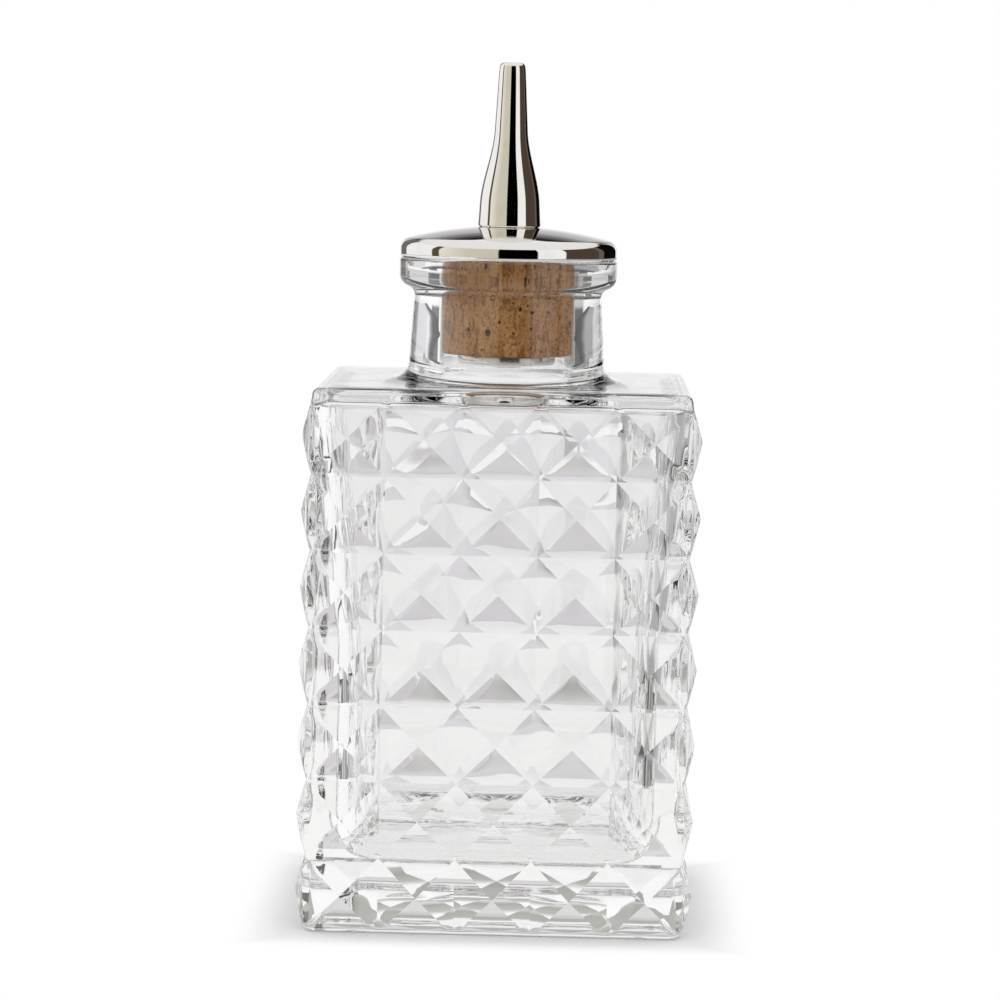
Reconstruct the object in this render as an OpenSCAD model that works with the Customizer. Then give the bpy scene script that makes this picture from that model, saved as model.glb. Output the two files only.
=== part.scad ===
// Square glass dasher bottle with a diamond-point relief, a cork stopper under a domed metal
// disc, and a slim metal spout. Millimetres, +Z up, origin at the centre of the base.

/* [Diamond relief] */
// Side of one moulded point, valley to valley
point_pitch = 11; // [10:0.5:12]
// Points across each side of the body
columns = 5; // [5:1:6]
// Points up each side of the body
rows = 7; // [5:1:8]
// Height of a point above the valleys between the points
relief_h = 1.5; // [1:0.1:2]
// How far the outer points are cut back by the neighbouring side
side_trim = 0.25; // [0.15:0.05:1]

/* [Body] */
// Plain band between the top row of points and the shoulder
shoulder_band = 1.5; // [1.25:0.25:3]
// Chamfer along the base edges
base_cut = 1; // [0.5:0.1:1.5]
// Chamfer along the shoulder edges
shoulder_cut = 0.9; // [0.3:0.1:1.2]
// Chamfer down the upright corners, measured along each side
corner_cut = 1.2; // [0.6:0.1:2]
// Depth of the hollow under the base
push_up = 1; // [0.5:0.1:2]
// Width of the flat ring that the bottle stands on
foot_ring = 7; // [4:0.5:10]

/* [Inside of the glass] */
// Wall thickness in the lower part of the body, at the valleys
wall_low = 4.2; // [3:0.2:6]
// Wall thickness at the shoulder, at the valleys
wall_top = 1.2; // [1:0.1:2.5]
// Height above which the walls grow thinner
wall_bend = 40; // [25:1:60]
// Glass thickness of the heavy base
base_t = 10; // [6:0.5:14]
// Glass thickness of the shoulder
shoulder_t = 2.1; // [1.5:0.1:5]
// Radius of the cavity's upright corners under the shoulder
cavity_corner_r = 3; // [2:0.5:6]
// How far the cavity's upright corners are cut back at its floor, measured along each side
cavity_corner_cut = 5; // [4:0.5:9]
// Slope where the cavity's walls meet its floor
floor_slope = 3; // [1:0.25:4]
// Slope where the cavity's walls meet the shoulder
roof_slope = 0.8; // [0.5:0.1:3]

/* [Neck] */
// Radius of the neck's bore
bore_r = 10; // [8.5:0.25:11.5]
// Glass thickness of the neck below the lip
neck_wall = 3.9; // [3:0.1:4.5]
// How much wider the neck is at its foot
neck_flare = 0.6; // [0:0.05:1]
// Fillet between the neck and the shoulder
neck_fillet = 2.8; // [1:0.1:3.2]
// Height of the neck from the shoulder to the lip
neck_h = 12.5; // [11:0.1:18]
// Height of the rolled lip
lip_h = 5.7; // [5:0.1:7]
// How far the lip stands out from the neck
lip_out = 2.25; // [1.5:0.05:2.8]
// Radius of the hollow where the lip meets the neck
lip_root_r = 1.4; // [0.6:0.1:1.8]
// Rounding of the lip's top edge
lip_edge_r = 0.6; // [0.3:0.1:1]

/* [Cork] */
// Length of the cork below the disc
cork_l = 14.3; // [10:0.1:16]
// How much narrower the cork is at its lower end
cork_taper = 0.25; // [0.1:0.05:0.6]
// Gap between the cork and the neck's bore
cork_gap = 0.05; // [0.03:0.01:0.1]

/* [Disc] */
// How far the disc stays inside the lip's edge
disc_inset = 0; // [0:0.05:0.5]
// Height of the rim's widest line, where its upper rounding starts
rim_h = 1.2; // [1:0.05:1.8]
// Rounding of the rim's upper edge
rim_top_r = 1.7; // [0.8:0.1:1.8]
// Rounding of the rim's lower edge
rim_low_r = 0.45; // [0.2:0.05:0.6]
// Radius of the dome's curve
dome_r = 60; // [50:1:75]
// Depth of the recess that locates the cork
cork_recess = 0.8; // [0.4:0.1:1.2]

/* [Stem and nut] */
// Outer radius of the threaded stem
stem_r = 2.2; // [1.8:0.1:2.5]
// Radius of the passage through the stem
stem_bore_r = 1.2; // [0.8:0.1:1.3]
// Length of stem inside the spout
stem_grip = 5.6; // [4:0.2:7]
// Length of stem below the nut
stem_tail = 0.8; // [0.4:0.1:1.5]
// Radius of the round nut under the cork
nut_r = 7.25; // [6:0.25:7.5]
// Thickness of the nut
nut_h = 1.6; // [1:0.1:2]
// Gap between the stem and what it passes through
stem_gap = 0.05; // [0.03:0.01:0.09]

/* [Spout] */
// Height of the spout
spout_h = 24.3; // [22:0.1:30]
// Radius of the spout's straight base
spout_base_r = 4.67; // [4.2:0.01:5.2]
// Radius of the spout at its tip
spout_tip_r = 1.92; // [1.7:0.02:2.4]
// Radius gained for each millimetre down the spout's slim part
spout_draft = 0.055; // [0.02:0.005:0.07]
// Height of the straight base
bulb_low = 3.6; // [2:0.2:4]
// Height over which the bulb narrows to the slim part
bulb_span = 10.6; // [9:0.1:16]
// Radius of the spout's pouring hole
spout_bore_r = 0.9; // [0.6:0.1:1.1]
// Rounding of the spout's base edge
spout_edge_r = 0.4; // [0.2:0.05:0.5]
// Rounding of the spout's tip
spout_tip_edge_r = 0.7; // [0.3:0.05:0.9]

/* [Hidden] */
$fn = 72;
eps = 0.01;
arc_steps = 8;
dome_steps = 14;
spout_steps = 26;
// Play above the stem's end inside the spout
socket_play = 0.4;
// How far the lip's underside turns in, in degrees
lip_turn = 70;

relief_l = columns*point_pitch;
relief_top = rows*point_pitch;
valley = relief_l/2 - side_trim;
peak = valley + relief_h;
body_h = relief_top + shoulder_band;
cavity_low_half = valley - wall_low;
cavity_top_half = valley - wall_top;
cavity_top = body_h - shoulder_t;
foot_r = valley - foot_ring;
neck_r = bore_r + neck_wall;
neck_foot_r = neck_r + neck_flare;
lip_r = neck_r + lip_out;
lip_under_r = lip_out/(1 - cos(lip_turn)) - lip_root_r;
lip_low = body_h + neck_h;
lip_top = lip_low + lip_h;
cork_top_r = bore_r - cork_gap;
cork_low_r = cork_top_r - cork_taper;
cork_low = lip_top - cork_l;
disc_r = lip_r - disc_inset;
rim_turn_r = disc_r - rim_top_r;
// Slope of the dome where it runs into the rim's rounding
dome_slope = asin(rim_turn_r/(dome_r - rim_top_r));
dome_center = rim_h - (dome_r - rim_top_r)*cos(dome_slope);
seat_h = dome_z(spout_base_r);
spout_z = lip_top + seat_h;
nut_low = cork_low - nut_h;
stem_low = nut_low - stem_tail;
stem_top = spout_z + stem_grip;
passage_r = stem_r + stem_gap;
bulge = spout_base_r - spout_tip_r - spout_draft*spout_h;

// Height of the dome above the disc's underside at radius r
function dome_z(r) = dome_center + sqrt(pow(dome_r, 2) - pow(r, 2));

// Smooth step from 0 to 1
function ease(t) = let (u = min(max(t, 0), 1)) u*u*(3 - 2*u);

// Radius of the spout at height h above its base
function spout_r(h) =
    spout_tip_r + spout_draft*(spout_h - h) + bulge*(1 - ease((h - bulb_low)/bulb_span));

// Points on an arc of radius r about c, from angle a to angle b
function arc(c, r, a, b) =
    [for (i = [0:arc_steps]) let (t = a + (b - a)*i/arc_steps) c + r*[cos(t), sin(t)]];

// Edge of a strip of n points along u, standing at valley and rising to peak
function zigzag(n) =
    [for (i = [1:2*n - 1]) [i*point_pitch/2, valley + (i % 2)*relief_h]];

// One edge of the body seen from above, from -u to +u
function plan_edge() =
    concat([[-peak, valley], [-relief_l/2, valley]],
           [for (p = zigzag(columns)) [p[0] - relief_l/2, p[1]]],
           [[relief_l/2, valley], [peak, valley]]);

// One edge of the body seen from the side, from the base up
function rise_edge() =
    concat([[valley - base_cut, 0], [valley + relief_h*base_cut/(point_pitch/2), base_cut]],
           [for (p = zigzag(rows)) [p[1], p[0]]],
           [[valley, relief_top], [valley, body_h - shoulder_cut],
            [valley - shoulder_cut, body_h]]);

// A closed outline from one edge and its mirror image
function both_sides(edge, m) =
    concat(edge, [for (i = [len(edge) - 1:-1:0]) [edge[i][0]*m[0], edge[i][1]*m[1]]]);

module plan_prism() {
    linear_extrude(body_h) polygon(both_sides(plan_edge(), [1, -1]));
}

module rise_prism() {
    rotate([90, 0, 0]) linear_extrude(2*peak, center = true)
        polygon(both_sides(rise_edge(), [-1, 1]));
}

module corner_prism() {
    flat = sqrt(2)*(valley - corner_cut/2);
    rotate(45) translate([-flat, -flat, 0]) cube([2*flat, 2*flat, body_h]);
}

module relief_block() {
    intersection() {
        plan_prism();
        rotate(90) plan_prism();
        rise_prism();
        rotate(90) rise_prism();
        corner_prism();
    }
}

module neck() {
    fillet = arc([neck_foot_r + neck_fillet, body_h + neck_fillet], neck_fillet, 270, 180);
    root = arc([neck_r + lip_root_r, lip_low], lip_root_r, 180, 180 - lip_turn);
    under = arc([lip_r - lip_under_r, lip_low + (lip_root_r + lip_under_r)*sin(lip_turn)],
                lip_under_r, -lip_turn, 0);
    lip_under = concat(root, [for (i = [1:len(under) - 1]) under[i]]);
    lip_edge = arc([lip_r - lip_edge_r, lip_top - lip_edge_r], lip_edge_r, 0, 90);
    rotate_extrude()
        polygon(concat([[0, cavity_top], [neck_foot_r + neck_fillet, cavity_top]],
                       fillet, lip_under, lip_edge, [[0, lip_top]]));
}

// Upright block with round corners
module rounded_block(half, r, h) {
    flat = half - r;
    translate([-half, -flat, 0]) cube([2*half, 2*flat, h]);
    translate([-flat, -half, 0]) cube([2*flat, 2*half, h]);
    for (x = [-flat, flat], y = [-flat, flat]) translate([x, y, 0]) cylinder(h = h, r = r);
}

// Prism across the cavity: upright below the bend, leaning out above it, with half width low
// at the floor and top under the shoulder, and its edges there sloped
module cavity_slopes(low, top, floor_edge, roof_edge) {
    side = [[low - floor_edge, base_t], [low, base_t + floor_edge], [low, wall_bend],
            [top, cavity_top - roof_edge], [top - roof_edge, cavity_top]];
    rotate([90, 0, 0]) linear_extrude(3*peak, center = true) polygon(both_sides(side, [-1, 1]));
}

module cavity() {
    corner = sqrt(2)*(cavity_low_half - cavity_corner_cut/2);
    corner_top = sqrt(2)*(cavity_top_half - cavity_corner_r/2);
    intersection() {
        translate([0, 0, base_t])
            rounded_block(cavity_top_half, cavity_corner_r, cavity_top - base_t);
        cavity_slopes(cavity_low_half, cavity_top_half, floor_slope, roof_slope);
        rotate(90) cavity_slopes(cavity_low_half, cavity_top_half, floor_slope, roof_slope);
        rotate(45) cavity_slopes(corner, corner_top, floor_slope, roof_slope);
        rotate(135) cavity_slopes(corner, corner_top, floor_slope, roof_slope);
    }
    translate([0, 0, cavity_top - eps]) cylinder(h = lip_top - cavity_top + 2*eps, r = bore_r);
}

module bottle() {
    color([0.86, 0.92, 0.92, 0.4]) difference() {
        union() {
            relief_block();
            neck();
        }
        cavity();
        translate([0, 0, -eps]) cylinder(h = push_up + eps, r1 = foot_r, r2 = foot_r - 2*push_up);
    }
}

module cork() {
    color([0.68, 0.48, 0.32]) difference() {
        union() {
            translate([0, 0, cork_low]) cylinder(h = cork_l, r1 = cork_low_r, r2 = cork_top_r);
            translate([0, 0, lip_top - eps]) cylinder(h = cork_recess + eps, r = cork_top_r);
        }
        translate([0, 0, cork_low - eps])
            cylinder(h = cork_l + cork_recess + 2*eps, r = passage_r);
    }
}

module cap_disc() {
    rim_low = arc([disc_r - rim_low_r, rim_low_r], rim_low_r, 270, 360);
    rim_top = arc([rim_turn_r, rim_h], rim_top_r, 0, 90 - dome_slope);
    dome_edge_r = rim_turn_r + rim_top_r*sin(dome_slope);
    dome = [for (i = [1:dome_steps])
        let (r = dome_edge_r + (spout_base_r - dome_edge_r)*i/dome_steps) [r, dome_z(r)]];
    color([0.86, 0.84, 0.8]) translate([0, 0, lip_top])
        rotate_extrude()
            polygon(concat([[passage_r, cork_recess], [bore_r, cork_recess], [bore_r, 0]],
                           rim_low, rim_top, dome, [[passage_r, seat_h]]));
}

module stem() {
    color([0.8, 0.79, 0.76]) difference() {
        translate([0, 0, stem_low]) cylinder(h = stem_top - stem_low, r = stem_r);
        translate([0, 0, stem_low - eps])
            cylinder(h = stem_top - stem_low + 2*eps, r = stem_bore_r);
    }
}

module cork_nut() {
    color([0.84, 0.82, 0.78]) difference() {
        translate([0, 0, nut_low]) cylinder(h = nut_h, r = nut_r);
        translate([0, 0, nut_low - eps]) cylinder(h = nut_h + 2*eps, r = passage_r);
    }
}

module spout() {
    low_edge = arc([spout_base_r - spout_edge_r, spout_edge_r], spout_edge_r, 270, 360);
    first = 2*spout_edge_r;
    last = spout_h - 2*spout_tip_edge_r;
    side = [for (i = [0:spout_steps]) let (h = first + (last - first)*i/spout_steps)
        [spout_r(h), h]];
    tip_edge = arc([spout_r(spout_h) - spout_tip_edge_r, spout_h - spout_tip_edge_r],
                   spout_tip_edge_r, 0, 90);
    socket_h = stem_grip + socket_play;
    color([0.86, 0.84, 0.8]) translate([0, 0, spout_z])
        rotate_extrude()
            polygon(concat([[passage_r, 0]], low_edge, side, tip_edge,
                           [[spout_bore_r, spout_h], [spout_bore_r, socket_h + passage_r],
                            [passage_r, socket_h]]));
}

bottle();
cork();
cap_disc();
stem();
cork_nut();
spout();
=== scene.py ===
# Square glass dasher bottle with a cork stopper, a domed disc and a slim spout.
# Everything is in metres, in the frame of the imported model.
import math
import random

import bpy
import numpy as np
from mathutils import Matrix, Vector


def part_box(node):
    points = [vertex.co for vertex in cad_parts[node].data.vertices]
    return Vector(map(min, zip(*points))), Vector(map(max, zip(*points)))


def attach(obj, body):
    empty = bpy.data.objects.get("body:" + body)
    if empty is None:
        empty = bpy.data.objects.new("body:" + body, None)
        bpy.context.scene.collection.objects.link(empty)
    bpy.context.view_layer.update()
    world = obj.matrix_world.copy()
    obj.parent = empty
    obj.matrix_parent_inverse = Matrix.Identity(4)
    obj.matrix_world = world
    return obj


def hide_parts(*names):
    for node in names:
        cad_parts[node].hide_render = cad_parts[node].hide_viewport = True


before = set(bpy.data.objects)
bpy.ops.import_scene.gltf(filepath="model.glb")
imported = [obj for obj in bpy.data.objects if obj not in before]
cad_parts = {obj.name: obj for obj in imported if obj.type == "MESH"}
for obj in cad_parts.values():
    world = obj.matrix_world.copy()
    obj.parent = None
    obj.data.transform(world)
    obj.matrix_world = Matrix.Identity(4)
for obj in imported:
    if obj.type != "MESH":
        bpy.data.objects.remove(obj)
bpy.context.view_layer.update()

MM = 0.001

# The moulded relief and the body, as in the construction
PITCH = 11.0*MM
COLUMNS = 5
ROWS = 7
RELIEF = 1.5*MM
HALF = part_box("bottle")[1].x - RELIEF       # half width at the valleys
BODY_H = 78.5*MM
RELIEF_TOP = ROWS*PITCH
RELIEF_FADE = 0.2*MM                        # height over which the relief ends at its top
WALL_LOW = 4.2*MM                           # wall behind the valleys, low down and at the top
WALL_TOP = 1.2*MM
WALL_BEND = 40.0*MM                         # the walls lean outwards above this height
BASE_T = 10.0*MM
SHOULDER_T = 2.1*MM
CAVITY_CORNER = 3.0*MM
FLOOR_CORNER = 4.5*MM                       # the hollow's upright corners at its floor
FLOOR_ROUND = 6.0*MM                        # between the hollow's floor and its walls
FLOOR_DOME = 0.5*MM                         # how far the hollow's floor rises in the middle
ROOF_ROUND = 1.0*MM
WALL_CELL = 1.1*MM
CORNER_SHARE = 0.34                         # share of a hollow ring's points in its corners
MOUTH_EDGE = 0.5*MM
THROAT = 1.2*MM                             # rounding where the bore opens into the hollow
FOOT_RING = 7.0*MM
PUSH_UP = 1.0*MM

# Neck and lip
LIP_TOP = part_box("bottle")[1].z
BORE = 10.0*MM
NECK = 13.9*MM
NECK_FOOT = 14.5*MM
NECK_FILLET = 2.8*MM
LIP_H = 5.7*MM
LIP_ROOT = 1.4*MM                           # radius of the hollow under the lip
LIP_TURN = 70                               # degrees that this hollow turns through
LIP = 16.15*MM
LIP_EDGE = 0.6*MM

# Softness of the pressed glass
CELLS = 16                                  # mesh cells across one point
CREASE = 9.0                                # degrees from which relief facets meet sharply
TURNED_CREASE = 35.0                        # the same for turned pieces
RIM_SLACK = 0.1*MM                          # no facet is creased this close to a corner
TURN_SHARP = 0.990                          # how sharply points and valleys turn, 1 is a knife edge
UPRIGHT_ROUND = 1.8*MM
BASE_ROUND = 1.2*MM
SHOULDER_ROUND = 1.2*MM
PRINT_THROUGH = 0.12                        # share of the relief that shows inside
PRINT_FADE = 1/6                            # share of the wall over which it and the ripple fade
RIPPLE = 0.10*MM                            # unevenness of the blown inside
RIPPLE_WAVES = [                            # turns per metre along x, y and z, and a phase
    (62, 35, 71, 0.4),
    (-41, 57, 88, 2.1),
    (95, -66, 29, 4.4),
    (23, 88, -109, 5.3),
    (118, 103, 47, 1.2),
]


def mesh_object(name, points, faces):
    mesh = bpy.data.meshes.new(name)
    mesh.from_pydata([tuple(p) for p in points], [], faces)
    mesh.validate()
    mesh.update()
    mesh.shade_smooth()
    obj = bpy.data.objects.new(name, mesh)
    bpy.context.scene.collection.objects.link(obj)
    return obj


def arc(center, radius, start, end, steps):
    """Points on an arc in the (r, z) plane, angles in degrees."""
    turns = [math.radians(start + (end - start)*i/steps) for i in range(steps + 1)]
    return [(center[0] + radius*math.cos(t), center[1] + radius*math.sin(t)) for t in turns]


def lathe(name, profile, steps):
    """A closed solid turned about the Z axis from a closed (r, z) outline."""
    count = len(profile)
    turns = [2*math.pi*i/steps for i in range(steps)]
    points = [(r*math.cos(t), r*math.sin(t), z) for t in turns for r, z in profile]
    faces = []
    for i in range(steps):
        here, after = i*count, (i + 1) % steps*count
        for k in range(count):
            k2 = (k + 1) % count
            faces.append((here + k, after + k, after + k2, here + k2))
    obj = mesh_object(name, points, faces)
    obj.data.set_sharp_from_angle(angle=math.radians(TURNED_CREASE))
    return obj


# The glass

def triangle(x):
    """A triangle wave with softened turns: 1 at x = 0, 0 half a pitch away."""
    wave = np.arcsin(TURN_SHARP*np.cos(2*math.pi*x/PITCH))
    return 0.5 + wave/(2*math.asin(TURN_SHARP))


def relief_at(u, z):
    """Height of the diamond relief above the valley plane."""
    across = triangle(u + (COLUMNS + 1) % 2*PITCH/2)
    return RELIEF*np.minimum(across, triangle(z - PITCH/2))


def body_outline():
    """Position along the side, base point and outward normal of each point round the body."""
    flat = HALF - UPRIGHT_ROUND
    cells = round(2*flat/(PITCH/CELLS))
    corner_cells = 6
    along, base, normal = [], [], []
    for side in range(4):
        turn = Matrix.Rotation(side*math.pi/2, 2)
        for i in range(cells):
            u = -flat + 2*flat*i/cells
            along.append(u)
            base.append(turn @ Vector((u, -HALF)))
            normal.append(turn @ Vector((0, -1)))
        for i in range(corner_cells):
            t = math.pi/2*i/corner_cells
            out = Vector((math.sin(t), -math.cos(t)))
            along.append(flat + UPRIGHT_ROUND*min(math.sin(t), math.cos(t)))
            base.append(turn @ (Vector((flat, -flat)) + UPRIGHT_ROUND*out))
            normal.append(turn @ out)
    return np.array(along), np.array(base), np.array(normal)


def ripple(points):
    """A gentle unevenness, between about -1 and 1, that depends only on the place."""
    total = np.zeros(len(points))
    for kx, ky, kz, phase in RIPPLE_WAVES:
        turns = points[:, 0]*kx + points[:, 1]*ky + points[:, 2]*kz
        total += np.sin(2*math.pi*turns + phase)
    return total/len(RIPPLE_WAVES)


def hollow_ring(count, half, corner):
    """Points of a rounded square, and each point's place along its side."""
    side = count//4
    bend = round(side*CORNER_SHARE/2)*2
    flat = half - corner
    straight = np.linspace(-flat, flat, side - bend + 1)
    turn = np.linspace(0, math.pi/2, bend + 1)[1:-1]
    one = [(u, -half, u) for u in straight]
    one += [(flat + corner*math.sin(t), -flat - corner*math.cos(t), half) for t in turn]
    points, along = [], []
    for k in range(4):
        c, s = round(math.cos(k*math.pi/2)), round(math.sin(k*math.pi/2))
        for x, y, u in one:
            points.append((c*x - s*y, s*x + c*y))
            along.append(u)
    return np.array(points), np.array(along)


def glass_rings():
    """The bottle's whole surface as rings of points, from the centre of its base to its floor."""
    along, base, normal = body_outline()
    angle = np.arctan2(base[:, 1], base[:, 0])
    rings, relief_rows = [], []

    def ring(xy, z):
        rings.append(np.column_stack([xy, np.full(len(xy), z)]))
        relief_rows.append(False)

    def circle(r, z):
        ring(np.column_stack([r*np.cos(angle), r*np.sin(angle)]), z)

    def side(z, inset):
        out = relief_at(along, z)*min(1, max(0, (RELIEF_TOP - z)/RELIEF_FADE + 1)) - inset
        ring(base + normal*out[:, None], z)

    def blend(a, b, t, z):
        ring(a*(1 - t) + b*t, z)

    # the hollow under the base, then its flat ring
    foot = HALF - FOOT_RING
    for t in (0.15, 0.4, 0.65, 0.85, 1.0):
        circle(foot*t, PUSH_UP*(1 - t*t))
    first = base + normal*(relief_at(along, 0.0) - BASE_ROUND)[:, None]
    foot_xy = rings[-1][:, :2]
    for t in (0.35, 0.7):
        blend(foot_xy, first, t, 0.0)

    # up the sides
    step = PITCH/CELLS
    for i in range(5):
        t = math.pi/2*i/5
        side(BASE_ROUND*(1 - math.cos(t)), BASE_ROUND*(1 - math.sin(t)))
    top_start = BODY_H - SHOULDER_ROUND
    for i in range(round(RELIEF_TOP/step) + 1):
        z = i*step
        if BASE_ROUND < z < top_start:
            side(z, 0.0)
            relief_rows[-1] = True
    for i in range(1, 7):
        t = math.pi/2*i/6
        side(top_start + SHOULDER_ROUND*math.sin(t), SHOULDER_ROUND*(1 - math.cos(t)))

    # across the shoulder and up the neck
    edge = rings[-1][:, :2]
    r_in = NECK_FOOT + NECK_FILLET
    foot_circle = np.column_stack([r_in*np.cos(angle), r_in*np.sin(angle)])
    for t in (0.25, 0.5, 0.75):
        blend(edge, foot_circle, t, BODY_H)
    for r, z in arc((r_in, BODY_H + NECK_FILLET), NECK_FILLET, 270, 180, 6):
        circle(r, z)
    lip_low = LIP_TOP - LIP_H
    for t in (0.35, 0.7):
        circle(NECK_FOOT + (NECK - NECK_FOOT)*t,
               BODY_H + NECK_FILLET + (lip_low - BODY_H - NECK_FILLET)*t)
    for r, z in arc((NECK + LIP_ROOT, lip_low), LIP_ROOT, 180, 180 - LIP_TURN, 7):
        circle(r, z)
    under = (LIP - NECK)/(1 - math.cos(math.radians(LIP_TURN))) - LIP_ROOT
    middle = lip_low + (LIP_ROOT + under)*math.sin(math.radians(LIP_TURN))
    for r, z in arc((LIP - under, middle), under, -LIP_TURN, 0, 8)[1:]:
        circle(r, z)
    for r, z in arc((LIP - LIP_EDGE, LIP_TOP - LIP_EDGE), LIP_EDGE, 0, 90, 5):
        circle(r, z)
    for r, z in arc((BORE + MOUTH_EDGE, LIP_TOP - MOUTH_EDGE), MOUTH_EDGE, 90, 180, 4):
        circle(r, z)

    # down the bore and out under the shoulder
    roof = BODY_H - SHOULDER_T
    for t in (0.3, 0.6):
        circle(BORE, LIP_TOP - MOUTH_EDGE + (roof + THROAT - LIP_TOP + MOUTH_EDGE)*t)
    for r, z in arc((BORE + THROAT, roof + THROAT), THROAT, 180, 270, 5):
        circle(r, z)
    high = roof - ROOF_ROUND
    low = BASE_T + FLOOR_ROUND

    def hollow(z, inset, height):
        """The shape of the inner wall at z, drawn in by inset and laid at height."""
        lean = min(max((z - WALL_BEND)/(high - WALL_BEND), 0), 1)
        climb = min(max((z - low)/(high - low), 0), 1)
        corner = FLOOR_CORNER + (CAVITY_CORNER - FLOOR_CORNER)*climb
        half = HALF - WALL_LOW + (WALL_LOW - WALL_TOP)*lean
        xy, side_place = hollow_ring(len(angle), half - inset, corner - min(inset, 0.5*corner))
        shown = min(1, climb/PRINT_FADE, (1 - climb)/PRINT_FADE)
        if shown > 0:
            spot = np.column_stack([xy, np.full(len(xy), z)])
            push = shown*(PRINT_THROUGH*(relief_at(side_place, z) - RELIEF/3) + RIPPLE*ripple(spot))
            xy = xy*(1 + push/np.hypot(xy[:, 0], xy[:, 1]))[:, None]
        ring(xy, height)

    start = BORE + THROAT
    edge, _ = hollow_ring(len(angle), HALF - WALL_TOP - ROOF_ROUND, CAVITY_CORNER - ROOF_ROUND/2)
    around = np.arctan2(edge[:, 1], edge[:, 0])
    rim = start*np.column_stack([np.cos(around), np.sin(around)])
    for t in (0.0, 0.3, 0.6, 0.85):
        ring(rim*(1 - t) + edge*t, roof)
    for i in range(7):
        t = math.pi/2*i/6
        hollow(high, ROOF_ROUND*(1 - math.sin(t)), roof - ROOF_ROUND*(1 - math.cos(t)))

    # down the walls to the floor
    steps = round((high - low)/WALL_CELL)
    for i in range(1, steps + 1):
        z = high + (low - high)*i/steps
        hollow(z, 0, z)
    for i in range(1, 9):
        t = math.pi/2*i/8
        hollow(low, FLOOR_ROUND*(1 - math.cos(t)), BASE_T + FLOOR_ROUND*(1 - math.sin(t)))
    last = rings[-1][:, :2]
    for t in (0.7, 0.35):
        ring(last*t, BASE_T + FLOOR_DOME*(1 - t))
    return rings, relief_rows, along


def crease_facets(mesh, relief_rows, along):
    """Sharp edges between the relief's facets, and smooth glass everywhere else."""
    mesh.set_sharp_from_angle(angle=math.radians(CREASE))
    ends = np.empty(2*len(mesh.edges), dtype=np.int32)
    mesh.edges.foreach_get("vertices", ends)
    cut = np.empty(len(mesh.edges), dtype=bool)
    mesh.edges.foreach_get("use_edge_sharp", cut)
    ring, place = np.divmod(ends, len(along))
    flat = np.abs(along) < HALF - UPRIGHT_ROUND - RIM_SLACK
    rows = np.array(relief_rows + [False, False])
    inside = (rows[ring] & flat[place]).reshape(-1, 2).all(axis=1)
    mesh.edges.foreach_set("use_edge_sharp", cut & inside)


def glass_bottle():
    rings, relief_rows, along = glass_rings()
    count = len(along)
    points = np.vstack(rings + [[(0, 0, PUSH_UP)], [(0, 0, BASE_T + FLOOR_DOME)]])
    faces = []
    for k in range(len(rings) - 1):
        here, above = k*count, (k + 1)*count
        z = rings[k][0, 2]
        up = (z/PITCH % 1) < 0.5
        for i in range(count):
            j = (i + 1) % count
            a, b, c, d = here + i, here + j, above + j, above + i
            if not relief_rows[k]:
                faces.append((a, b, c, d))
                continue
            # split each cell along the ridge that crosses it
            u = along[i] + PITCH/CELLS/2
            right = ((u/PITCH + COLUMNS/2) % 1) > 0.5
            if right == up:
                faces += [(a, b, d), (b, c, d)]
            else:
                faces += [(a, b, c), (a, c, d)]
    bottom, floor = len(points) - 2, len(points) - 1
    last = (len(rings) - 1)*count
    for i in range(count):
        j = (i + 1) % count
        faces.append((bottom, j, i))
        faces.append((floor, last + i, last + j))
    obj = mesh_object("glass_bottle_body", points, faces)
    crease_facets(obj.data, relief_rows, along)
    return obj


# Turned and cut pieces

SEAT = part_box("spout")[0].z
SPOUT_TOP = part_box("spout")[1].z
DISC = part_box("cap_disc")[1].x
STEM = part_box("stem")[1].x
STEM_BORE = 1.2*MM
STEM_FIT = 0.05*MM
PASSAGE = STEM + STEM_FIT
SPOUT_BASE = 4.67*MM
CORK_TOP = 9.95*MM
CORK_LOW = 9.7*MM


def make_spout():
    tip, draft = 1.92*MM, 0.055
    height = SPOUT_TOP - SEAT
    bulge = SPOUT_BASE - tip - draft*height
    bulge_end, neck_run = 3.6*MM, 10.6*MM
    edge, tip_edge = 0.4*MM, 0.7*MM
    bore, bore_edge, end_gap = 0.9*MM, 0.15*MM, 0.4*MM
    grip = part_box("stem")[1].z - SEAT + end_gap

    def radius(h):
        t = min(max((h - bulge_end)/neck_run, 0), 1)
        return tip + draft*(height - h) + bulge*(1 - t*t*(3 - 2*t))

    side = [(radius(h), SEAT + h) for h in np.linspace(2*edge, height - 2*tip_edge, 60)]
    profile = [(PASSAGE, SEAT)] + arc((SPOUT_BASE - edge, SEAT + edge), edge, 270, 360, 6) + side
    profile += arc((radius(height) - tip_edge, SPOUT_TOP - tip_edge), tip_edge, 0, 90, 8)
    profile += [(bore + bore_edge, SPOUT_TOP), (bore, SPOUT_TOP - bore_edge),
                (bore, SEAT + grip + PASSAGE), (PASSAGE, SEAT + grip)]
    return lathe("spout_turned", profile, 192)


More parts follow.
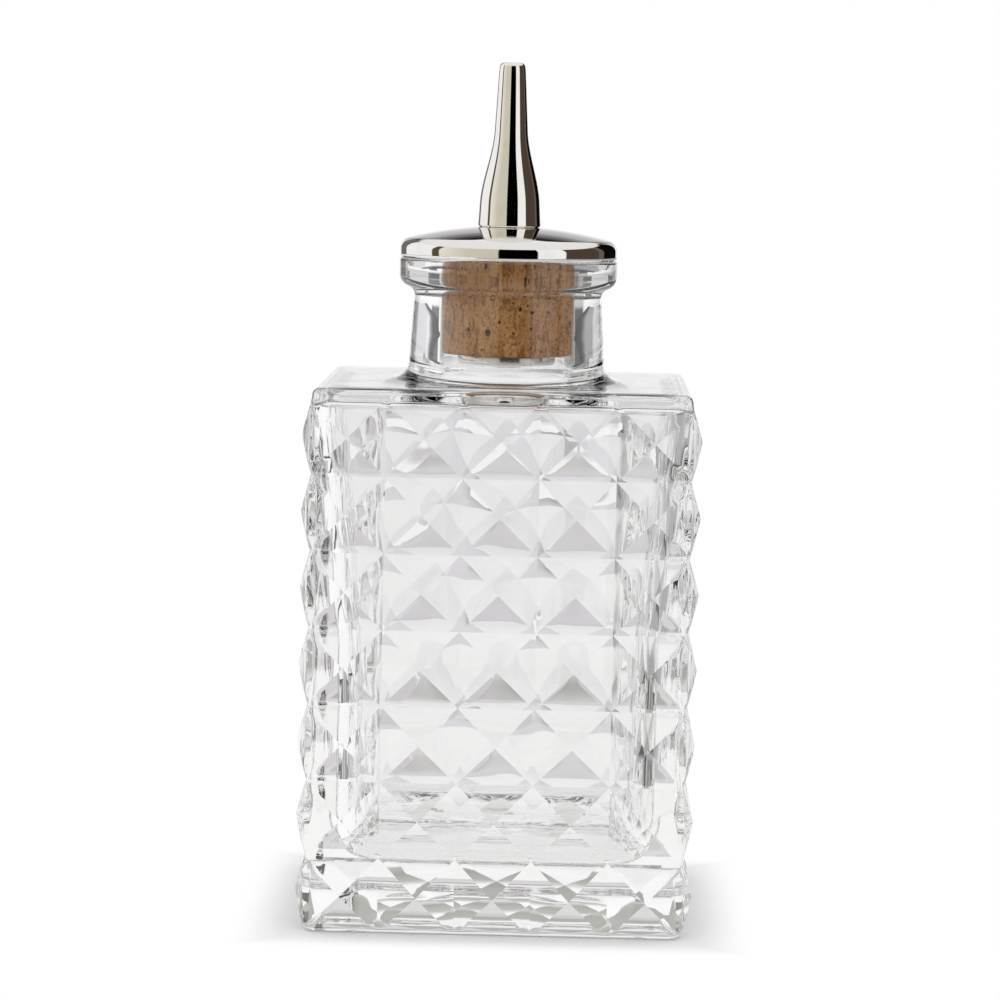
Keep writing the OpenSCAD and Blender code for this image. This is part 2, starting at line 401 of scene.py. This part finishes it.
def make_disc():
    rim_h, top_r, low_r, big, recess = 1.2*MM, 1.7*MM, 0.45*MM, 60*MM, 0.8*MM
    slope = math.asin((DISC - top_r)/(big - top_r))
    middle = LIP_TOP + rim_h - (big - top_r)*math.cos(slope)

    def dome(r):
        return middle + math.sqrt(big*big - r*r)

    edge_r = DISC - top_r + top_r*math.sin(slope)
    dome_points = [(r, dome(r)) for r in np.linspace(edge_r, SPOUT_BASE, 40)[1:]]
    profile = [(PASSAGE, LIP_TOP + recess), (BORE, LIP_TOP + recess), (BORE, LIP_TOP)]
    profile += arc((DISC - low_r, LIP_TOP + low_r), low_r, 270, 360, 6)
    profile += arc((DISC - top_r, LIP_TOP + rim_h), top_r, 0, 90 - math.degrees(slope), 14)
    profile += dome_points + [(PASSAGE, SEAT)]
    return lathe("cap_disc_turned", profile, 256)


CORK_CELL = 0.22*MM
PORES = 200
PORE_SEED = 5
PORE_SMALL, PORE_SPREAD = 0.12*MM, 0.36*MM  # half width of the smallest, and how much more
PORE_DEPTH, PORE_DEEPER = 0.2*MM, 0.4       # depth, and the share of its half width added
PORE_WALL = 0.85                            # where a pore's wall is half way down, in half widths
PORE_STEEP = 9.0
PORE_REACH = 1.6                            # beyond this many half widths the cork is plain


def cork_pores(low, high):
    """Angle, height, half width, half height and depth of each pore."""
    dice = random.Random(PORE_SEED)
    pores = []
    for i in range(PORES):
        turn = dice.uniform(-math.pi, math.pi)
        z = dice.uniform(low, high)
        size = PORE_SMALL + PORE_SPREAD*dice.random()**2.6
        tall = size*dice.uniform(0.9, 1.5)
        apart = min([math.hypot(math.remainder(turn - p[0], 2*math.pi)*CORK_TOP, z - p[1])
                     for p in pores] + [1])
        if apart > 3*tall:
            pores.append((turn, z, size, tall, PORE_DEPTH + PORE_DEEPER*size))
    return pores


def pore_share(turn, z, pores, radius):
    """0 on the plain cork, rising to 1 in the middle of a pore, and the depth there."""
    share, depth = 0.0, 0.0
    for at, height, wide, tall, deep in pores:
        across = math.remainder(turn - at, 2*math.pi)*radius
        away = math.hypot(across/wide, (z - height)/tall)
        if away < PORE_REACH:
            here = 1/(1 + math.exp(PORE_STEEP*(away - PORE_WALL)))
            share = max(share, here)
            depth = max(depth, here*deep)
    return share, depth


def make_cork():
    low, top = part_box("cork")[0].z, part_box("cork")[1].z
    edge, top_edge = 0.35*MM, 0.05*MM
    rows = round((LIP_TOP - low - edge)/CORK_CELL)
    profile = [(PASSAGE, low), (0.5*CORK_LOW, low), (CORK_LOW - edge, low)]
    profile += arc((CORK_LOW - edge, low + edge), edge, 280, 360, 4)
    side_first = len(profile) - 1
    profile += [(CORK_LOW + (CORK_TOP - CORK_LOW)*i/rows, low + edge + (LIP_TOP - low - edge)*i/rows)
                for i in range(1, rows + 1)]
    side_last = len(profile) - 1
    profile += [(CORK_TOP, top - top_edge), (CORK_TOP - top_edge, top), (PASSAGE, top)]
    steps = round(2*math.pi*CORK_TOP/CORK_CELL)
    obj = lathe("cork_stopper", profile, steps)
    pores = cork_pores(low + 2*edge, LIP_TOP - edge)
    marks = obj.data.attributes.new("pore", "FLOAT", "POINT")
    for i in range(steps):
        turn = 2*math.pi*i/steps
        for k in range(side_first, side_last + 1):
            point = obj.data.vertices[i*len(profile) + k]
            share, depth = pore_share(turn, point.co.z, pores, CORK_TOP)
            if share > 0.01:
                marks.data[point.index].value = share
                radius = math.hypot(point.co.x, point.co.y)
                point.co.x *= 1 - depth/radius
                point.co.y *= 1 - depth/radius
    return obj


def make_nut():
    low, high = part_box("cork_nut")[0].z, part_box("cork_nut")[1].z
    r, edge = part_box("cork_nut")[1].x, 0.35*MM
    profile = [(PASSAGE, low)] + arc((r - edge, low + edge), edge, 270, 360, 5)
    profile += arc((r - edge, high - edge), edge, 0, 90, 5) + [(PASSAGE, high)]
    return lathe("cork_nut_turned", profile, 128)


def make_stem():
    low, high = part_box("stem")[0].z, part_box("stem")[1].z
    edge = 0.2*MM
    profile = [(STEM_BORE, low), (STEM - edge, low), (STEM, low + edge),
               (STEM, high - edge), (STEM - edge, high), (STEM_BORE, high)]
    return lathe("stem_tube", profile, 96)


# Materials

class Graph:
    """Short calls for building a chain of nodes."""

    def __init__(self, tree):
        self.tree = tree

    def node(self, kind, **settings):
        made = self.tree.nodes.new(kind)
        for name, value in settings.items():
            setattr(made, name, value)
        return made

    def put(self, socket, value):
        if isinstance(value, bpy.types.NodeSocket):
            self.tree.links.new(value, socket)
        else:
            socket.default_value = value

    def math(self, operation, a, b=0.0, c=0.0):
        made = self.node("ShaderNodeMath", operation=operation)
        for socket, value in zip(made.inputs, (a, b, c)):
            self.put(socket, value)
        return made.outputs[0]

    def ramp(self, value, low, high, smooth=True):
        """0 below low, 1 above high."""
        kind = "SMOOTHSTEP" if smooth else "LINEAR"
        made = self.node("ShaderNodeMapRange", interpolation_type=kind)
        self.put(made.inputs["Value"], value)
        made.inputs["From Min"].default_value = low
        made.inputs["From Max"].default_value = high
        return made.outputs["Result"]

    def mix(self, share, a, b, blend="MIX"):
        made = self.node("ShaderNodeMix", data_type="RGBA", blend_type=blend)
        self.put(made.inputs["Factor"], share)
        for name, value in (("A", a), ("B", b)):
            socket = next(i for i in made.inputs if i.name == name and i.type == "RGBA")
            self.put(socket, value if isinstance(value, bpy.types.NodeSocket) else (*value, 1))
        return next(o for o in made.outputs if o.type == "RGBA")

    def place(self, scale=(1, 1, 1), offset=(0, 0, 0)):
        """The piece's own coordinates, stretched."""
        made = self.node("ShaderNodeMapping")
        self.put(made.inputs["Vector"], self.node("ShaderNodeTexCoord").outputs["Object"])
        made.inputs["Scale"].default_value = scale
        made.inputs["Location"].default_value = offset
        return made.outputs[0]

    def noise(self, place, scale, detail=3.0, roughness=0.5, distortion=0.0):
        made = self.node("ShaderNodeTexNoise")
        self.put(made.inputs["Vector"], place)
        for name, value in (("Scale", scale), ("Detail", detail), ("Roughness", roughness),
                            ("Distortion", distortion)):
            made.inputs[name].default_value = value
        return made.outputs["Fac"]

    def bump(self, height, depth, before=None):
        made = self.node("ShaderNodeBump")
        made.inputs["Distance"].default_value = depth
        self.put(made.inputs["Height"], height)
        if before is not None:
            self.put(made.inputs["Normal"], before)
        return made.outputs[0]


def material(name):
    mat = bpy.data.materials.new(name)
    mat.use_nodes = True
    return mat, Graph(mat.node_tree), mat.node_tree.nodes["Principled BSDF"]


GLASS_COLOR = (0.987, 0.986, 0.988)
GLASS_WAVES = ((90, 0.020*MM), (330, 0.003*MM))      # noise scale per metre, height


def glass_material():
    mat, g, shader = material("clear_pressed_glass")
    shader.inputs["Base Color"].default_value = (*GLASS_COLOR, 1)
    shader.inputs["Roughness"].default_value = 0.0
    shader.inputs["IOR"].default_value = 1.5
    shader.inputs["Transmission Weight"].default_value = 1.0
    normal = None
    for scale, height in GLASS_WAVES:
        normal = g.bump(g.noise(g.place(), scale, 2.0), height, normal)
    g.put(shader.inputs["Normal"], normal)
    return mat


STEEL, STEEL_ROUGH = (0.86, 0.84, 0.81), 0.022
TURNED_STEEL, TURNED_ROUGH = (0.74, 0.72, 0.69), 0.09
SMEAR_DULL = 0.93


def metal_material(name, color, clean):
    """Metal with faint smears and fine marks round the piece. clean is its least roughness."""
    mat, g, shader = material(name)
    shader.inputs["Metallic"].default_value = 1.0
    smear = g.ramp(g.noise(g.place(), 260, 4.0, 0.6, 0.5), 0.45, 0.75)
    marks = g.noise(g.place((60, 60, 2600), (3.1, 1.7, 0.4)), 1.0, 2.0)
    rough = g.math("MULTIPLY_ADD", smear, 0.5*clean, clean)
    g.put(shader.inputs["Roughness"], g.math("MULTIPLY_ADD", marks, 0.4*clean, rough))
    dull = tuple(SMEAR_DULL*c for c in color)
    g.put(shader.inputs["Base Color"], g.mix(smear, color, dull))
    waves = g.bump(g.noise(g.place(), 120, 1.0), 0.008*MM)
    g.put(shader.inputs["Normal"], g.bump(marks, 0.0006*MM, waves))
    return mat


CORK_LIGHT = (0.71, 0.385, 0.150)
CORK_MIDDLE = (0.54, 0.250, 0.078)
CORK_DARK = (0.21, 0.065, 0.014)
CORK_PORE = (0.065, 0.018, 0.003)


def cork_material():
    mat, g, shader = material("natural_cork")
    tones = g.noise(g.place((1, 1, 0.45)), 210, 3.0, 0.6, 0.3)
    rays = g.noise(g.place((1, 1, 0.22)), 1500, 3.0, 0.6)
    patches = g.noise(g.place(), 700, 4.0, 0.65, 0.8)
    grain = g.noise(g.place((1, 1, 0.7)), 3400, 3.0, 0.65)
    color = g.mix(g.ramp(tones, 0.38, 0.62), CORK_LIGHT, CORK_MIDDLE)
    color = g.mix(g.math("MULTIPLY", g.ramp(rays, 0.50, 0.66), 0.7), color, CORK_DARK)
    color = g.mix(g.math("MULTIPLY", g.ramp(patches, 0.54, 0.68), 0.6), color, CORK_DARK)
    color = g.mix(g.math("MULTIPLY", g.ramp(grain, 0.54, 0.64), 0.75), color, CORK_DARK)
    color = g.mix(g.math("MULTIPLY", g.ramp(grain, 0.44, 0.34), 0.6), color, CORK_LIGHT)
    pore = g.node("ShaderNodeAttribute", attribute_name="pore").outputs["Fac"]
    specks = g.ramp(g.noise(g.place((1, 1, 0.7), (0.3, 0.7, 0.2)), 1500, 2.0), 0.68, 0.72)
    hole = g.math("MAXIMUM", g.ramp(pore, 0.25, 0.75), g.math("MULTIPLY", specks, 0.85))
    g.put(shader.inputs["Base Color"], g.mix(hole, color, CORK_PORE))
    g.put(shader.inputs["Roughness"], g.math("MULTIPLY_ADD", grain, 0.25, 0.62))
    shader.inputs["Specular IOR Level"].default_value = 0.25
    rough = g.bump(grain, 0.05*MM)
    g.put(shader.inputs["Normal"], g.bump(g.math("MULTIPLY", specks, -1.0), 0.08*MM, rough))
    return mat


def dress(obj, mat, node, body):
    """Give a piece its material, hide the imported part it replaces, and hang it on its body."""
    obj.data.materials.clear()
    obj.data.materials.append(mat)
    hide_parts(node)
    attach(obj, body)


# Camera, from a fit of the relief's grid in the photograph

EYE = Vector((9.74, -587.25, 115.92))*MM
YAW, PITCH_DOWN, ROLL = 0.01749, 0.09401, 0.02107
FOCAL_PX = 3948.1
PHOTO_PX = 1000
SENSOR = 36.0


def make_camera():
    ahead = Vector((-math.sin(YAW), math.cos(YAW), 0))
    right = Vector((math.cos(YAW), math.sin(YAW), 0))
    forward = ahead*math.cos(PITCH_DOWN) - Vector((0, 0, 1))*math.sin(PITCH_DOWN)
    up = right.cross(forward)
    rolled = right*math.cos(ROLL) + up*math.sin(ROLL)
    rolled_up = up*math.cos(ROLL) - right*math.sin(ROLL)
    data = bpy.data.cameras.new("photo_camera")
    data.sensor_width = SENSOR
    data.lens = SENSOR*FOCAL_PX/PHOTO_PX
    data.clip_start, data.clip_end = 0.01, 100
    camera = bpy.data.objects.new("photo_camera", data)
    axes = Matrix((rolled, rolled_up, -forward)).transposed().to_4x4()
    camera.matrix_world = Matrix.Translation(EYE) @ axes
    bpy.context.scene.collection.objects.link(camera)
    bpy.context.scene.camera = camera


# The studio, by bearing round the object and by height above the horizon, in degrees. Bearing
# 0 is towards the camera, positive to its right. An entry of ROOM or CARDS is an edge, the
# degrees over which it fades, and the colour from that edge on. BACKDROP and SHADE give a
# height and the colour there. FLAGS gives first and last bearing, lowest and highest, colour.

WHITE = (1.0, 1.0, 1.0)
OVERHEAD = (0.9, 0.9, 0.9)
OVERHEAD_FROM = (30, 34)
BACKDROP_FROM = (158, 162)
ROOM = [                                    # what polished surfaces mirror
    (-180, 2, WHITE),
    (-165, 2, (0.16, 0.16, 0.16)),
    (-138, 2, WHITE),
    (-88, 2, (0.10, 0.08, 0.06)),
    (-78, 2, (0.86, 0.83, 0.74)),
    (-58, 36, (0.66, 0.63, 0.53)),
    (-10, 2, (0.0, 0.0, 0.0)),
    (32, 2, WHITE),
    (64, 2, (0.075, 0.055, 0.042)),
    (112, 2, (0.14, 0.11, 0.09)),
    (122, 2, (0.004, 0.003, 0.004)),
    (158, 2, WHITE),
]
CARDS = [                                   # what is seen through the glass
    (-180, 2, WHITE),
    (-120, 10, (0.90, 0.90, 0.90)),
    (-104, 6, (0.55, 0.55, 0.54)),
    (-94, 4, (0.80, 0.80, 0.79)),
    (-84, 4, (0.36, 0.35, 0.34)),
    (-72, 3, (0.14, 0.13, 0.12)),
    (-63, 3, (0.56, 0.55, 0.52)),
    (-14, 4, (0.05, 0.05, 0.05)),
    (30, 4, (0.60, 0.62, 0.61)),
    (58, 5, (0.36, 0.37, 0.37)),
    (78, 4, (0.05, 0.035, 0.035)),
    (88, 4, (0.58, 0.61, 0.60)),
    (100, 6, (0.34, 0.30, 0.28)),
    (118, 6, (0.60, 0.58, 0.56)),
    (140, 8, WHITE),
]
BACKDROP = [                                # how the paper backdrop darkens upwards
    (-1.5, WHITE),
    (-0.8, (0.94, 0.93, 0.94)),
    (5, (0.94, 0.93, 0.94)),
    (8.6, (0.75, 0.73, 0.75)),
    (13.6, (0.57, 0.555, 0.57)),
    (17.3, (0.49, 0.48, 0.49)),
    (20.4, (0.27, 0.265, 0.27)),
    (23.1, (0.13, 0.125, 0.13)),
    (25.5, (0.02, 0.02, 0.02)),
    (27.2, (0.02, 0.02, 0.02)),
    (28.3, WHITE),
]
SHADE = [                                   # multiplied with CARDS
    (-1.5, WHITE),
    (-0.8, (0.66, 0.63, 0.65)),
    (3, (0.68, 0.66, 0.68)),
    (6, (0.72, 0.71, 0.71)),
    (9, (0.40, 0.40, 0.37)),
    (15, (0.50, 0.50, 0.47)),
    (18, WHITE),
    (28, (0.96, 0.96, 0.96)),
    (45, (0.60, 0.60, 0.58)),
]
FLAGS = [                                   # single cards in front of those
    (-118, -60, -12, -2.5, WHITE),
    (143, 164, 15, 23, (0.12, 0.12, 0.095)),
    (-160, -148, 15, 23, (0.24, 0.24, 0.21)),
    (128, 151, 1, 13, (0.20, 0.20, 0.18)),
    (-140, -112, 0, 13, (0.18, 0.19, 0.18)),
    (118, 139, -15, -3.5, (0.15, 0.15, 0.155)),
    (-139, -118, -15, -3.5, (0.20, 0.20, 0.205)),
]
FLAG_EDGE = 1.5                             # degrees over which a card's edge fades


def hang(g, bearing, height, behind, flag):
    """One card in front of what is behind it."""
    left, right, low, high, color = flag
    inside = 1.0
    for value, start, end in ((bearing, left, right), (height, low, high)):
        inside = g.math("MULTIPLY", inside, g.ramp(value, start, start + FLAG_EDGE))
        inside = g.math("MULTIPLY", inside, g.ramp(value, end, end - FLAG_EDGE))
    return g.mix(inside, behind, color)


def rise(g, height, table):
    """The colour at each height, from the lowest entry up."""
    paper = table[0][1]
    for (low, _), (high, color) in zip(table, table[1:]):
        paper = g.mix(g.ramp(height, low, high, smooth=False), paper, color)
    return paper


def bands(g, bearing, table):
    """The colour at each bearing, from the first entry round."""
    around = table[0][2]
    for edge, fade, color in table[1:]:
        share = g.ramp(bearing, edge - fade/2, edge + fade/2)
        around = g.mix(share, around, color)
    return around


def make_world():
    world = bpy.data.worlds.new("studio")
    world.use_nodes = True
    g = Graph(world.node_tree)
    back = world.node_tree.nodes["Background"]
    split = g.node("ShaderNodeSeparateXYZ")
    g.put(split.inputs[0], g.node("ShaderNodeTexCoord").outputs["Generated"])
    x, y, z = split.outputs
    bearing = g.math("DEGREES", g.math("ARCTAN2", x, g.math("MULTIPLY", y, -1.0)))
    height = g.math("DEGREES", g.math("ARCSINE", z))
    behind = g.ramp(g.math("ABSOLUTE", bearing), *BACKDROP_FROM)
    room = g.mix(behind, bands(g, bearing, ROOM), rise(g, height, BACKDROP))
    through = g.mix(1.0, bands(g, bearing, CARDS), rise(g, height, SHADE), "MULTIPLY")
    for flag in FLAGS:
        through = hang(g, bearing, height, through, flag)
    above = g.ramp(height, *OVERHEAD_FROM)
    room = g.mix(above, room, OVERHEAD)
    through = g.mix(above, through, OVERHEAD)
    light = g.node("ShaderNodeLightPath")
    seen = g.mix(light.outputs["Is Glossy Ray"], WHITE, room)
    seen = g.mix(light.outputs["Is Transmission Ray"], seen, through)
    # what lies inside the glass is lit by the same soft light as what stands outside it
    lit = g.math("GREATER_THAN", light.outputs["Diffuse Depth"], 0.5)
    g.put(back.inputs["Color"], g.mix(lit, seen, WHITE))
    bpy.context.scene.world = world


FLOOR_LEFT, FLOOR_RIGHT = -0.6, 0.6
FLOOR_FRONT, FLOOR_BACK = -0.25, 1.2
FLOOR_Z = -0.05*MM
FLOOR_COLOR = (0.93, 0.93, 0.93)

# Painted light and shade that glass and metal show on the floor, lighter near the base and darker
# further off, and the distances over which each begins or ends
FLOOR_NEAR = (0.94, 0.94, 0.93)
FLOOR_FAR = (0.76, 0.745, 0.77)
FAR_FROM = (0.06, 0.50)
FLOOR_SIDE = (0.40, 0.41, 0.40)             # painted shade in front and to the right, away from the painted window light
SIDE_FROM = (0.05, 0.16)
FLOOR_EDGE = (0.10, 0.10, 0.105)            # painted shade at its far left and right
EDGE_FROM = (0.34, 0.50)
PAINTED_WINDOW_SLANT = 0.6                          # the painted pool of window light begins further left, by this share of the distance to the front or back
PAINTED_WINDOW_FROM = (0.0, 0.03)                   # of the distance to the front or back
PAINTED_WINDOW_TO = (0.42, 0.34)
SHADOW_TO = (0.028, 0.038)                  # the shadow round the base fades out
FLOOR_BENEATH = 0.75                        # share of painted floor light laid over the real shadow under the glass, as the glass shows it
BENEATH_TO = (0.028, 0.048)


def painted_floor_light(g, x, y, beside):
    """The floor's colour as glass and metal show it: painted shade, and a painted pool of window
    light to the left.
    """
    aside, away = g.math("ABSOLUTE", x), g.math("ABSOLUTE", y)
    left, front = g.math("MULTIPLY", x, -1.0), g.math("MULTIPLY", y, -1.0)
    shown = g.mix(g.ramp(beside, *FAR_FROM), FLOOR_NEAR, FLOOR_FAR)
    shown = g.mix(g.ramp(g.math("MAXIMUM", x, front), *SIDE_FROM), shown, FLOOR_SIDE)
    shown = g.mix(g.ramp(aside, *EDGE_FROM), shown, FLOOR_EDGE)
    # a painted pool of window light, on the floor to the left
    lit = g.ramp(g.math("MULTIPLY_ADD", away, -PAINTED_WINDOW_SLANT, left), *PAINTED_WINDOW_FROM)
    lit = g.math("MULTIPLY", lit, g.ramp(aside, *PAINTED_WINDOW_TO))
    return g.mix(lit, shown, WHITE)


def floor_material():
    """A pale floor that keeps the object's shadow close round the base and glows white beyond it;
    glass and metal see painted light and shade on it.
    """
    mat, g, shader = material("pale_floor")
    shader.inputs["Base Color"].default_value = (*FLOOR_COLOR, 1)
    shader.inputs["Roughness"].default_value = 0.9
    shader.inputs["Specular IOR Level"].default_value = 0.0
    split = g.node("ShaderNodeSeparateXYZ")
    g.put(split.inputs[0], g.node("ShaderNodeNewGeometry").outputs["Position"])
    x, y = split.outputs[0], split.outputs[1]
    beside = g.math("MAXIMUM", g.math("ABSOLUTE", x), g.math("ABSOLUTE", y))
    rays = g.node("ShaderNodeLightPath").outputs
    glow = g.node("ShaderNodeEmission")
    # glass and metal see the painted floor light and shade, the camera sees plain white
    mirrored = painted_floor_light(g, x, y, beside)
    g.put(glow.inputs["Color"], g.mix(rays["Is Camera Ray"], mirrored, WHITE))
    outside = g.math("MULTIPLY", g.ramp(beside, *SHADOW_TO),
                     g.math("MAXIMUM", rays["Is Camera Ray"], rays["Is Glossy Ray"]))
    # through the glass, painted light covers most of the shadow under the bottle
    beneath = g.math("MULTIPLY_ADD", g.ramp(beside, *BENEATH_TO), 1 - FLOOR_BENEATH, FLOOR_BENEATH)
    through = g.math("MULTIPLY", beneath, rays["Is Transmission Ray"])
    blend = g.node("ShaderNodeMixShader")
    g.put(blend.inputs[0], g.math("MAXIMUM", outside, through))
    g.put(blend.inputs[1], shader.outputs[0])
    g.put(blend.inputs[2], glow.outputs[0])
    g.put(mat.node_tree.nodes["Material Output"].inputs["Surface"], blend.outputs[0])
    return mat


def make_floor():
    corners = [(FLOOR_LEFT, FLOOR_FRONT), (FLOOR_RIGHT, FLOOR_FRONT),
               (FLOOR_RIGHT, FLOOR_BACK), (FLOOR_LEFT, FLOOR_BACK)]
    floor = mesh_object("studio_floor", [(x, y, FLOOR_Z) for x, y in corners], [(0, 1, 2, 3)])
    floor.data.materials.append(floor_material())


scene = bpy.context.scene
scene.view_settings.view_transform = "Standard"
scene.cycles.max_bounces = 32
scene.cycles.transmission_bounces = 24
scene.cycles.glossy_bounces = 12
scene.cycles.diffuse_bounces = 4

make_camera()
make_world()
make_floor()
steel = metal_material("polished_steel", STEEL, STEEL_ROUGH)
plain_steel = metal_material("turned_steel", TURNED_STEEL, TURNED_ROUGH)
dress(glass_bottle(), glass_material(), "bottle", "glass_bottle")
dress(make_cork(), cork_material(), "cork", "stopper")
dress(make_disc(), steel, "cap_disc", "stopper")
dress(make_stem(), plain_steel, "stem", "stopper")
dress(make_nut(), plain_steel, "cork_nut", "stopper")
dress(make_spout(), steel, "spout", "pour_spout")
